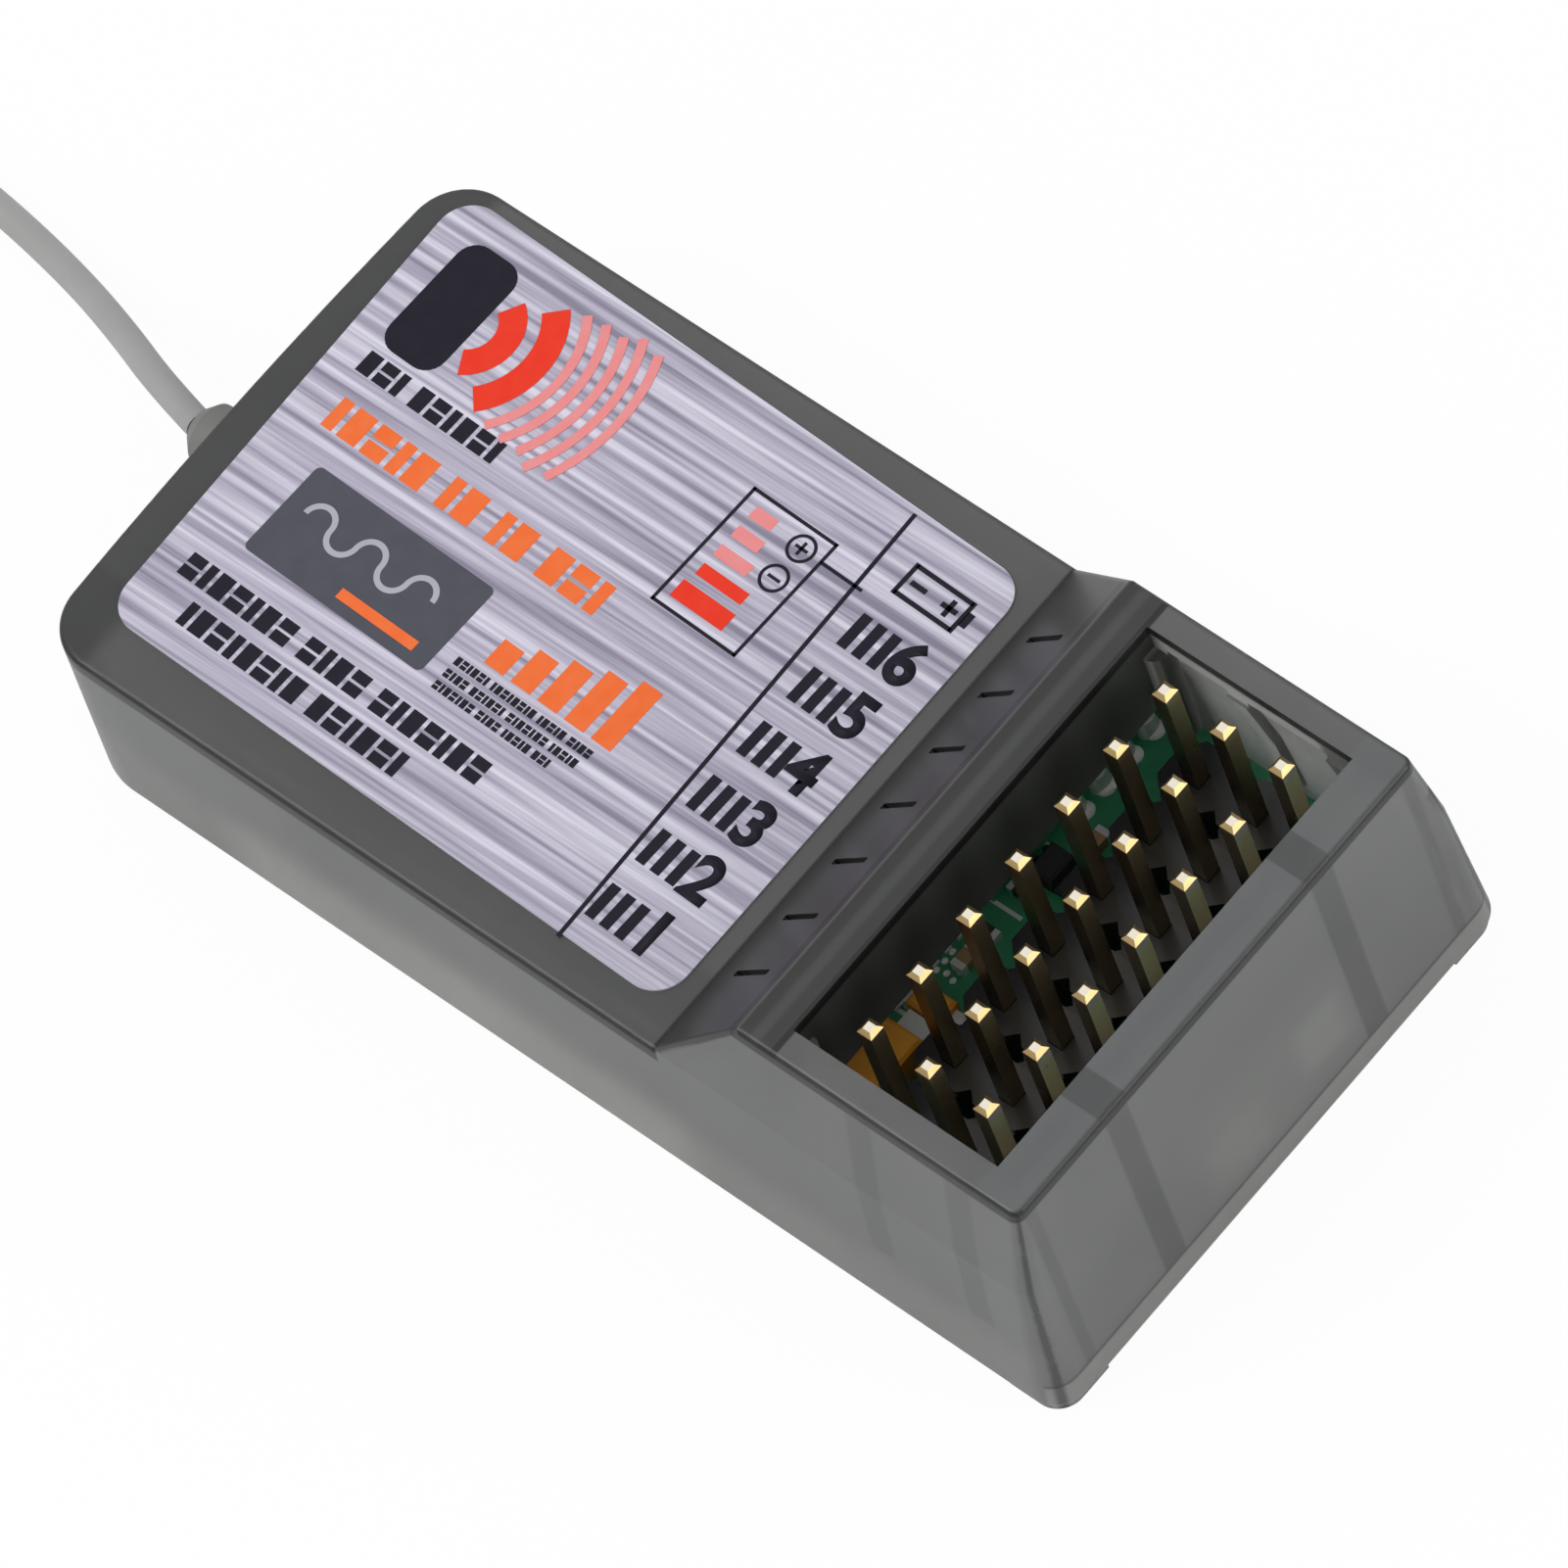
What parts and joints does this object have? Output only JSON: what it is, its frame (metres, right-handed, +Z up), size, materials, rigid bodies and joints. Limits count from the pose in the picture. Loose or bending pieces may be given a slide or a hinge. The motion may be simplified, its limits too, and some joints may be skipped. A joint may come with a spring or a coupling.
{
  "type": "rc receiver",
  "caption": "Small radio control receiver: translucent two-part case with a sloped pin bay, square servo pins, a foil label and a short free aerial lead.",
  "frame": {"origin": "centre of the case at its bottom, on the plane of the four corner feet", "axes": "+X along the case towards the pin end, +Y across it, +Z up through the label"},
  "size_m": [0.0778, 0.0234, 0.0124],
  "materials": {
    "case_smoke": "translucent smoky grey polycarbonate, satin",
    "label_silver": "brushed silver foil label",
    "board_green": "green lacquered glass fibre board",
    "header_black": "black moulded header plastic",
    "pin_gilt": "gilt square posts",
    "solder": "tinned metal and solder",
    "crystal_can": "drawn metal can",
    "chip_black": "black moulding compound",
    "capacitor_tan": "fired tan ceramic",
    "tantalum_yellow": "yellow moulded resin",
    "lamp_clear": "clear lamp resin",
    "boot_rubber": "soft grey rubber",
    "lead_sheath": "light grey lead sheath"
  },
  "bodies": {
    "root": {"antenna_boot": "boot_rubber", "antenna_lead": "lead_sheath", "antenna_solder": "solder", "antenna_tail": "lead_sheath", "capacitor_terminals": "solder", "chip_capacitors": "capacitor_tan", "chip_ends": "solder", "chip_leads": "solder", "chip_resistors": "chip_black", "controller_chip": "chip_black", "crystal": "crystal_can", "ground_pin_1": "pin_gilt", "ground_pin_2": "pin_gilt", "ground_pin_3": "pin_gilt", "ground_pin_4": "pin_gilt", "ground_pin_5": "pin_gilt", "ground_pin_6": "pin_gilt", "ground_pin_battery": "pin_gilt", "header_solder": "solder", "header_strip_ground": "header_black", "header_strip_power": "header_black", "header_strip_signal": "header_black", "interface_chip": "chip_black", "label_foil": "label_silver", "lower_case": "case_smoke", "main_board": "board_green", "module_solder": "solder", "power_pin_1": "pin_gilt", "power_pin_2": "pin_gilt", "power_pin_3": "pin_gilt", "power_pin_4": "pin_gilt", "power_pin_5": "pin_gilt", "power_pin_6": "pin_gilt", "power_pin_battery": "pin_gilt", "radio_board": "board_green", "radio_chip": "chip_black", "signal_pin_1": "pin_gilt", "signal_pin_2": "pin_gilt", "signal_pin_3": "pin_gilt", "signal_pin_4": "pin_gilt", "signal_pin_5": "pin_gilt", "signal_pin_6": "pin_gilt", "signal_pin_battery": "pin_gilt", "status_led": "lamp_clear", "tantalum_capacitor_1": "tantalum_yellow", "tantalum_capacitor_2": "tantalum_yellow", "upper_case": "case_smoke", "voltage_regulator": "chip_black"}
  },
  "joints": []
}
